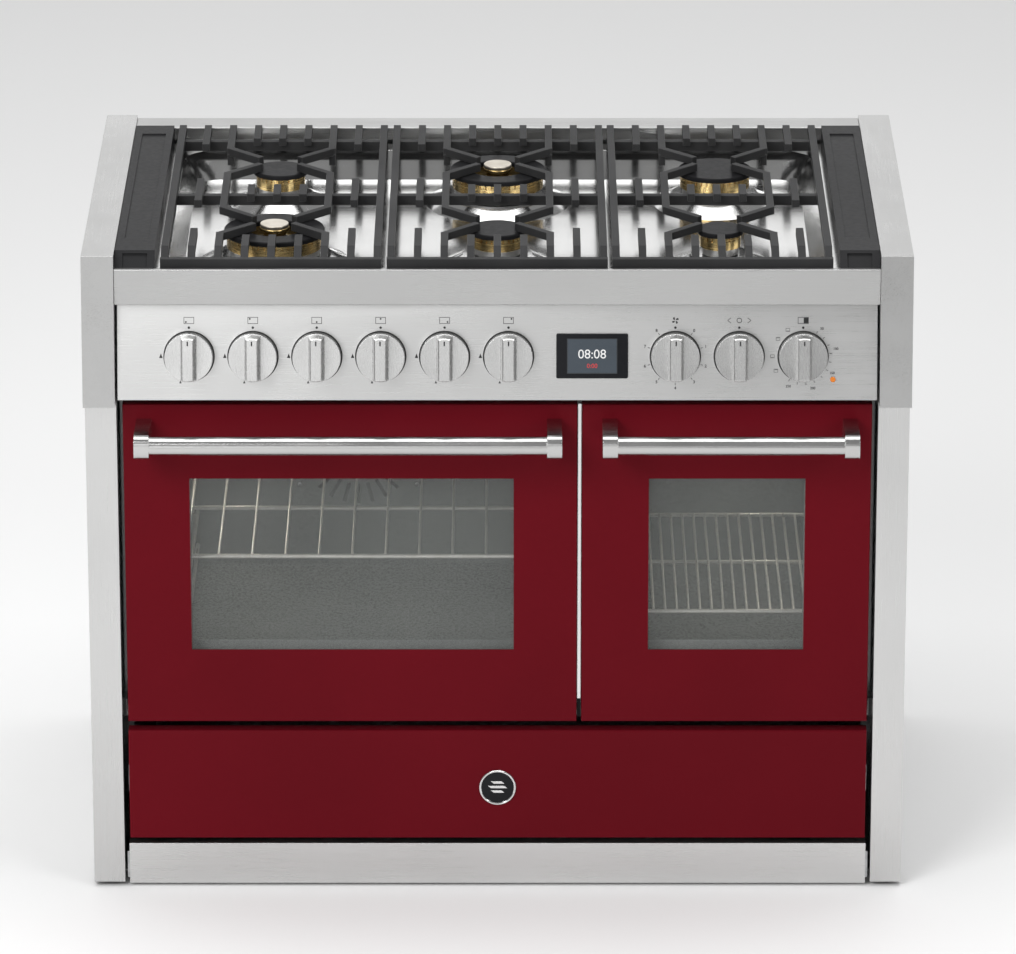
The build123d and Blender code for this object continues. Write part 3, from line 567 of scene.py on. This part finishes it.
def oven_marks():
    """Scales and symbols of the three oven knobs."""
    place = knob_place("function_knob")
    symbol = place @ Matrix.Translation((0, SYMBOL_ROW, 0))
    mesh = bmesh.new()
    index_dot(mesh, place)
    for spoke in range(4):
        turned = symbol @ Matrix.Rotation(spoke * math.pi / 2, 4, "Z")
        blade = [(0.3, 0.5), (4.0, 0.8), (3.4, 3.0), (1.2, 2.4)]
        slab(mesh, in_mm(blade), *INK, turned)
    dial_ticks(mesh, place, *FUNCTION_SCALE, 9)
    piece("function_marks", mesh, "cabinet", PRINT, False)
    numbers = [str(number) for number in range(9)]
    dial_numbers("function_knob", numbers, *FUNCTION_SCALE, 38.5 * MM, 5.0 * MM)

    place = knob_place("select_knob")
    mesh = bmesh.new()
    index_dot(mesh, place)
    ring = [(2.4 * MM, INK[0]), (3.2 * MM, INK[0]), (3.2 * MM, INK[1]), (2.4 * MM, INK[1])]
    lathe(mesh, ring, place @ Matrix.Translation((0, SYMBOL_ROW, 0)), 28)
    for side in (-1, 1):
        for lean in (-1, 1):
            tip = place @ Matrix.Translation((side * 12 * MM, SYMBOL_ROW + lean * 1.6 * MM, 0))
            tip = tip @ Matrix.Rotation(-side * lean * math.radians(38), 4, "Z")
            slab(mesh, rectangle(5.2 * MM, 0.7 * MM), *INK, tip)
    piece("select_marks", mesh, "cabinet", PRINT, False)

    place = knob_place("thermostat_knob")
    mesh = bmesh.new()
    index_dot(mesh, place)
    outline_frame(mesh, 13 * MM, 8.2 * MM, FINE_LINE, INK, place, 0, SYMBOL_ROW)
    slab(mesh, rectangle(5.4 * MM, 6.6 * MM, 3.2 * MM, SYMBOL_ROW), *INK, place)
    dial_ticks(mesh, place, *THERMOSTAT_TICKS, 11)
    for index, turn in enumerate(GRILL_MODES):
        angle = math.radians(90 - turn)
        u, v = 37 * MM * math.cos(angle), 37 * MM * math.sin(angle)
        outline_frame(mesh, 5.0 * MM, 4.2 * MM, 0.45 * MM, INK, place, u, v)
        bar_height = v + (1.1 * MM if index % 2 else -1.1 * MM)
        slab(mesh, rectangle(3.2 * MM, 0.45 * MM, u, bar_height), *INK, place)
    piece("thermostat_marks", mesh, "cabinet", PRINT, False)
    numbers = ["50", "100", "150", "200", "250"]
    dial_numbers("thermostat_knob", numbers, *THERMOSTAT_NUMBERS, 40.5 * MM, 4.2 * MM)


SCREEN_WIDE, SCREEN_HIGH = 59 * MM, 41 * MM
SCREEN_BORDER = 0.7 * MM
DIGIT_LIFT = 0.28 * MM  # from the plane of the screen


def display_screen():
    """Lit screen with its border, a clock and a small countdown, on the display's glass."""
    origin = PANEL_MIDDLE - PANEL_UP * 4 * MM + PANEL_NORMAL * 3.3 * MM
    place = axes(origin + X * middle("display_glass").x, X, PANEL_UP, PANEL_NORMAL)
    mesh = bmesh.new()
    slab(mesh, rectangle(SCREEN_WIDE, SCREEN_HIGH), 0.02 * MM, 0.12 * MM, place)
    piece("screen", mesh, "cabinet", SCREEN, False)
    mesh = bmesh.new()
    wide, high = SCREEN_WIDE + 1.6 * MM, SCREEN_HIGH + 1.6 * MM
    outline_frame(mesh, wide, high, SCREEN_BORDER, (0.02 * MM, 0.3 * MM), place)
    piece("screen_border", mesh, "cabinet", SCREEN_EDGE, False)
    clock = place @ Matrix.Translation((0, 2 * MM, DIGIT_LIFT))
    lettering("clock_digits", "08:08", 15.5 * MM, clock, "cabinet", DIGITS)
    timer = place @ Matrix.Translation((0, -12 * MM, DIGIT_LIFT))
    lettering("timer_digits", "0:00", 7.5 * MM, timer, "cabinet", RED_DIGITS)


def pilot_lamp():
    """Amber thermostat lamp at the lower right of the panel."""
    place = knob_place("thermostat_knob") @ Matrix.Translation((36 * MM, -28 * MM, 0))
    mesh = bmesh.new()
    dome = [(3.2, 0), (3.2, 0.8), (2.6, 1.5), (0.8, 1.9)]
    disc(mesh, in_mm(dome), place, 32)
    piece("pilot_lamp", mesh, "cabinet", AMBER)
    mesh = bmesh.new()
    rim = [(3.3, 0), (4.3, 0), (4.0, 0.9), (3.4, 1.0)]
    lathe(mesh, in_mm(rim), place, 32)
    piece("pilot_lamp_rim", mesh, "cabinet", CHROME)


# column and row of the burner that each gas knob works
BURNER_OF_KNOB = [(column, row) for column in (-1, 0, 1) for row in (-1, 1)]
for number, node in enumerate(GAS_KNOBS):
    base_ring(node)
    index_mark(node, f"knob_{number + 1}")
    gas_marks(node, *BURNER_OF_KNOB[number])
for node in OVEN_KNOBS:
    base_ring(node)
    index_mark(node, node)
oven_marks()
display_screen()
pilot_lamp()

# ---- hob --------------------------------------------------------------------------------
COLUMN = 272 * MM
FRONT_ROW, REAR_ROW = 150, 400  # depths of the two rows of burners
INNER_LID = 811 * MM  # height of the underside of a dual burner's inner lid
PLUG_BASE = 772 * MM  # height where a spark plug starts
PLUG_GAP = 4.5 * MM  # from a burner cap's rim to the axis of a plug
# side, column, depth of the row, cap radius, whether it has an inner ring
BURNERS = [
    ("left", -COLUMN, FRONT_ROW, 61.5 * MM, True),
    ("left", -COLUMN, REAR_ROW, 33.5 * MM, False),
    ("centre", 0.0, FRONT_ROW, 34.5 * MM, False),
    ("centre", 0.0, REAR_ROW, 60.0 * MM, True),
    ("right", COLUMN, FRONT_ROW, 28.0 * MM, False),
    ("right", COLUMN, REAR_ROW, 46.5 * MM, False),
]


def inner_cap(name, column, depth, side):
    """Pale steel lid with a brass rim over the inner ring of a dual burner."""
    place = Matrix.Translation((column, at(depth), INNER_LID))
    mesh = bmesh.new()
    lid = [(17.4, 0), (17.6, 3.6), (16.9, 4.5), (1.0, 4.9)]
    disc(mesh, in_mm(lid), place)
    piece(f"{name}_inner_lid", mesh, f"caps_{side}", INNER_CAP)
    mesh = bmesh.new()
    rim = [(16.6, -3.9), (17.9, -3.7), (18.3, -1.8), (17.7, -0.1), (16.6, -0.1)]
    lathe(mesh, in_mm(rim), place)
    piece(f"{name}_inner_rim", mesh, f"caps_{side}", BRASS)


def igniter(name, column, depth, radius):
    """White ceramic spark plug and flame sensor beside a burner."""
    mesh, tips = bmesh.new(), bmesh.new()
    for turn in (math.radians(65), math.radians(115)):
        reach = radius + PLUG_GAP
        across, back = reach * math.cos(turn), reach * math.sin(turn)
        place = Matrix.Translation((column + across, at(depth) + back, PLUG_BASE))
        plug = [(3.4, 0), (3.4, 14), (2.6, 15), (2.6, 21), (1.6, 22)]
        disc(mesh, in_mm(plug), place, 20)
        disc(tips, in_mm([(1.0, 22), (1.0, 26.5), (0.4, 27.5)]), place, 12)
    piece(f"{name}_spark_plugs", mesh, "cabinet", CERAMIC)
    piece(f"{name}_spark_tips", tips, "cabinet", CHROME)


for side, column, depth, radius, dual in BURNERS:
    name = f"burner_{side}_{'front' if depth == FRONT_ROW else 'rear'}"
    igniter(name, column, depth, radius)
    if dual:
        inner_cap(name, column, depth, side)


# ---- doors and ovens --------------------------------------------------------------------
def seal_ring(name, points, radius, body, material):
    """A round seal along a closed line of points."""
    curve = bpy.data.curves.new(name, "CURVE")
    curve.dimensions = "3D"
    curve.bevel_depth = radius
    curve.bevel_resolution = 4
    line = curve.splines.new("POLY")
    line.points.add(len(points) - 1)
    for place, point in zip(line.points, points):
        place.co = (*point, 1)
    line.use_cyclic_u = True
    curve.materials.append(material)
    thing = bpy.data.objects.new(name, curve)
    bpy.context.scene.collection.objects.link(thing)
    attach(thing, body)
    return thing


def rounded_loop(low, high, radius, steps=8):
    """Points of a rounded rectangle between two (x, z) corners."""
    points = []
    corners = [
        (high[0] - radius, high[1] - radius, 0),
        (low[0] + radius, high[1] - radius, 90),
        (low[0] + radius, low[1] + radius, 180),
        (high[0] - radius, low[1] + radius, 270),
    ]
    for x, z, start in corners:
        for step in range(steps + 1):
            turn = math.radians(start + 90 * step / steps)
            points.append((x + radius * math.cos(turn), z + radius * math.sin(turn)))
    return points


CAVITY_LOW, CAVITY_HIGH = 262 * MM, 592 * MM
LAMP_X = {"main": -333 * MM, "small": 343 * MM}
LAMP_HEIGHT = 540 * MM
SEAL_MARGIN = 9 * MM  # from the mouth of the oven to its door seal
OVENS = {"main": (-393 * MM, 37 * MM), "small": (153 * MM, 403 * MM)}  # left and right wall
# depths behind the front edge of the top, in millimetres
SEAL_DEPTH, LINER_DEPTH, FAN_COVER_DEPTH, LAMP_DEPTH = 44.6, 43, 424, 455


def oven_details(name, left, right, lamp_x):
    """Door seal and lamp of an oven."""
    low = (left - SEAL_MARGIN, CAVITY_LOW - SEAL_MARGIN)
    high = (right + SEAL_MARGIN, CAVITY_HIGH + SEAL_MARGIN)
    loop = rounded_loop(low, high, 12 * MM)
    seal = [(x, at(SEAL_DEPTH), z) for x, z in loop]
    seal_ring(f"{name}_door_seal", seal, 1.3 * MM, "cabinet", RUBBER)
    lamp = front_place(lamp_x, LAMP_DEPTH, LAMP_HEIGHT)
    mesh = bmesh.new()
    dome = [(24, 0), (24, 4), (19, 12), (10, 16), (1, 17)]
    disc(mesh, in_mm(dome), lamp)
    piece(f"{name}_lamp_lens", mesh, "cabinet", LAMP)
    mesh = bmesh.new()
    rim = [(24.3, 0), (29, 0), (28, 3), (24.3, 4.5)]
    lathe(mesh, in_mm(rim), lamp)
    piece(f"{name}_lamp_rim", mesh, "cabinet", CHROME)


def screw_heads(name, places, body, radius=3.6 * MM):
    """Pan-head screws with a cross recess, all in one piece."""
    mesh = bmesh.new()
    for place in places:
        shoulder, crown = (radius * 0.8, 1.6 * MM), (radius * 0.35, 2.1 * MM)
        disc(mesh, [(radius, 0), (radius, 0.5 * MM), shoulder, crown], place, 20)
        for turn in (0, math.pi / 2):
            cross = place @ Matrix.Rotation(turn, 4, "Z")
            slab(mesh, rectangle(radius, radius * 0.22), 1.9 * MM, 2.15 * MM, cross)
    piece(name, mesh, body, CHROME)


for name, (left, right) in OVENS.items():
    oven_details(name, left, right, LAMP_X[name])
    corners = [
        back_place(x, LINER_DEPTH, z)
        for x in (left + 8 * MM, (left + right) / 2, right - 8 * MM)
        for z in (290 * MM, 560 * MM)
    ]
    screw_heads(f"{name}_liner_screws", corners, f"{name}_door", 2.8 * MM)


def fan_cover():
    """Pressed steel cover in front of the fan; its ring of slots is drawn as black strips that
    paint the shade inside the slots.
    """
    place = front_place(middle("fan_wheel").x, FAN_COVER_DEPTH, middle("fan_wheel").z)
    mesh = bmesh.new()
    slab(mesh, polygon(92 * MM, 8, turn=math.pi / 8), 0, 1.2 * MM, place)
    piece("fan_cover", mesh, "cabinet", OVEN, False)
    mesh = bmesh.new()
    # black strips, not holes: painted shade of the slots
    for ring, count, length in ((58 * MM, 24, 26 * MM), (24 * MM, 10, 18 * MM)):
        for step in range(count):
            spoke = place @ Matrix.Rotation(2 * math.pi * step / count, 4, "Z")
            slab(mesh, rectangle(length, 4.5 * MM, ring, 0), 1.1 * MM, 1.5 * MM, spoke)
    piece("fan_cover_slot_shade", mesh, "cabinet", RUBBER, False)
    places = [
        place @ Matrix.Translation((x, z, 1.2 * MM))
        for x in (-75 * MM, 75 * MM)
        for z in (-45 * MM, 45 * MM)
    ]
    screw_heads("fan_cover_screws", places, "cabinet", 3.2 * MM)


fan_cover()

# ---- drawer badge -----------------------------------------------------------------------
BADGE_HEIGHT = 132 * MM
badge_place = front_place(0, 7, BADGE_HEIGHT)
mesh = bmesh.new()
dome = [(20.5, 0), (20.5, 1.2), (17, 1.7), (1, 1.8)]
disc(mesh, in_mm(dome), badge_place, 64)
piece("badge_disc", mesh, "drawer", DISPLAY)
mesh = bmesh.new()
profile = [(20.0, 0), (23.0, 0), (23.0, 1.6), (22.2, 2.6), (20.9, 2.6), (20.0, 1.8)]
lathe(mesh, in_mm(profile), badge_place, 64)
piece("badge_ring", mesh, "drawer", CHROME)
mesh = bmesh.new()
for row, wide in ((7.0, 13.0), (1.0, 20.0), (-5.0, 13.0)):
    half = wide / 2
    low, high = row - 1.6, row + 1.6
    slanted = [(2 - half, low), (half + 2, low), (half - 2, high), (-half - 2, high)]
    slab(mesh, in_mm(slanted), 1.6 * MM, 2.3 * MM, badge_place)
piece("badge_bars", mesh, "drawer", CHROME, False)

# ---- back of the cabinet ----------------------------------------------------------------
REAR_FACE = 584.5  # depth of the rear panel's outer face
INLET_HEIGHT = 684 * MM
row_ends = [(x * MM, z * MM) for x in (-470, -235, 0, 235, 470) for z in (75, 775)]
row_ends += [(x * MM, z * MM) for x in (-475, 475) for z in (250, 420, 590)]
back = [back_place(x, REAR_FACE, z) for x, z in row_ends]
screw_heads("rear_panel_screws", back, "cabinet", 4.2 * MM)
inlet_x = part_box("gas_manifold")[0][0] + 11 * MM  # the pipe's axis
inlet_place = back_place(inlet_x, REAR_FACE + 0.1, INLET_HEIGHT)
mesh = bmesh.new()
nut = [(10.7, 0.4), (17, 0.4), (16, 5), (10.7, 5)]
lathe(mesh, in_mm(nut), inlet_place, 6)
piece("inlet_nut", mesh, "cabinet", BRASS, False)

# ---- gaps beside the doors --------------------------------------------------------------
STRIP_WIDE, STRIP_HIGH = 4.3 * MM, 382 * MM
STRIP_MIDDLE, HINGE_MIDDLE = 438 * MM, 233.5 * MM  # heights
OUTER_GAP = 458.2 * MM  # from the middle of the range to the gap outside a door
hinge_gap = (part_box("main_door_skin")[1][0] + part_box("small_door_skin")[0][0]) / 2
# Stainless strip in the gap between the doors, in the lightest steel copy: its brightness is a
# painted highlight.
mesh = bmesh.new()
strip_place = front_place(hinge_gap, 13, STRIP_MIDDLE)
slab(mesh, rectangle(STRIP_WIDE, STRIP_HIGH), -1 * MM, 0, strip_place)
piece("centre_strip", mesh, "cabinet", STEEL_LIT_STRIP, False)
mesh = bmesh.new()
for x in (-OUTER_GAP, hinge_gap, OUTER_GAP):
    cover_place = front_place(x, 18.8, HINGE_MIDDLE)
    slab(mesh, rectangle(4.6 * MM, 24 * MM), 0, 1.2 * MM, cover_place)
piece("hinge_plate_covers", mesh, "cabinet", RUBBER, False)

# ---- camera, light and floor --------------------------------------------------------------
CAMERA_X = 0.0129
CAMERA_BACK = 8.033  # in front of the top's front edge
CAMERA_HEIGHT = 3.359
CAMERA_PITCH = math.radians(19.34)
SENSOR, LENS = 36, 248.776  # both in millimetres

camera_data = bpy.data.cameras.new("camera")
camera_data.sensor_width = SENSOR
camera_data.lens = LENS
camera_data.clip_end = 60
camera = bpy.data.objects.new("camera", camera_data)
camera.location = (CAMERA_X, FRONT - CAMERA_BACK, CAMERA_HEIGHT)
camera.rotation_euler = (math.pi / 2 - CAMERA_PITCH, 0, 0)
bpy.context.scene.collection.objects.link(camera)
bpy.context.scene.camera = camera


def area_light(name, location, target, size, power):
    """A rectangular soft light, aimed at a point."""
    data = bpy.data.lights.new(name, "AREA")
    data.shape = "RECTANGLE"
    data.size, data.size_y = size
    data.energy = power
    lamp = bpy.data.objects.new(name, data)
    lamp.location = location
    aim = Vector(target) - Vector(location)
    lamp.rotation_euler = aim.to_track_quat("-Z", "Y").to_euler()
    bpy.context.scene.collection.objects.link(lamp)


area_light("key", (-2.4, -3.8, 3.4), (0, 0, 0.5), (2.6, 2.2), 140)
area_light("fill", (3.6, -3.4, 2.6), (0, 0, 0.5), (2.2, 2.6), 60)
area_light("top", (0, 0.2, 4.6), (0, 0, 0.8), (5.0, 3.0), 150)
area_light("back", (0.0, 5.2, 2.6), (0, 0, 0.9), (7.0, 2.2), 45)
area_light("front", (-3.2, -12.0, 1.9), (0, 0, 0.7), (7.0, 3.6), 103)

world = bpy.data.worlds.new("studio")
bpy.context.scene.world = world
world.use_nodes = True
world.node_tree.nodes["Background"].inputs["Color"].default_value = (1, 1, 1, 1)
world.node_tree.nodes["Background"].inputs["Strength"].default_value = 0.28
bpy.context.scene.view_settings.view_transform = "Standard"

FLOOR_SIDE, FLOOR_THICK = 40, 0.02
floor_mesh = bmesh.new()
slab(floor_mesh, rectangle(FLOOR_SIDE, FLOOR_SIDE), -FLOOR_THICK, 0.0)
floor_data = bpy.data.meshes.new("floor")
floor_mesh.to_mesh(floor_data)
floor_mesh.free()
floor = bpy.data.objects.new("floor", floor_data)
bpy.context.scene.collection.objects.link(floor)
floor_surface = Surface("floor", Specular_IOR_Level=0.2)
floor_drift = floor_surface.between(floor_surface.noise(0.5, (1, 1, 1), 2.0), 0, 1)
floor_grit = floor_surface.noise(700.0, (1, 1, 1), 3.0)
floor_surface.put(
    Base_Color=floor_surface.colours(floor_drift, (0.88, 0.88, 0.88), (0.865, 0.865, 0.865)),
    Roughness=floor_surface.between(floor_grit, 0.68, 0.80),
)
floor_data.materials.append(floor_surface.material)
